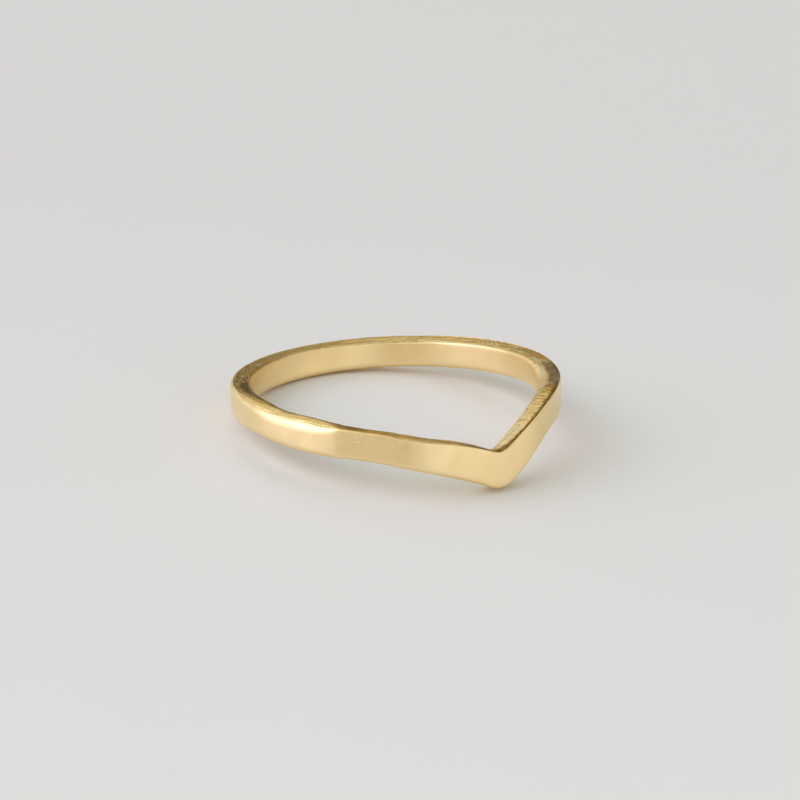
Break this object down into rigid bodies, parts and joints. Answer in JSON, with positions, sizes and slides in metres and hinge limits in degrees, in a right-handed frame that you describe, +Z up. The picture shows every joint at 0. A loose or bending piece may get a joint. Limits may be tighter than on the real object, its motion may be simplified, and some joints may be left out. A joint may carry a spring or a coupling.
{
  "type": "finger ring",
  "caption": "Narrow gold ring with a satin finish, a plain band at the back and a soft V point at the front.",
  "frame": {"origin": "on the surface that the ring lies on, below the middle of its length and width", "axes": "+Z up, -Y towards the V point, +X to the right of the point seen from the front; the finger's axis leans from +Z towards +Y"},
  "size_m": [0.0194, 0.0198, 0.0041],
  "materials": {
    "gold": "satin yellow gold, fine brushed grain with soft hammer facets"
  },
  "bodies": {
    "root": {"band": "gold"}
  },
  "joints": []
}
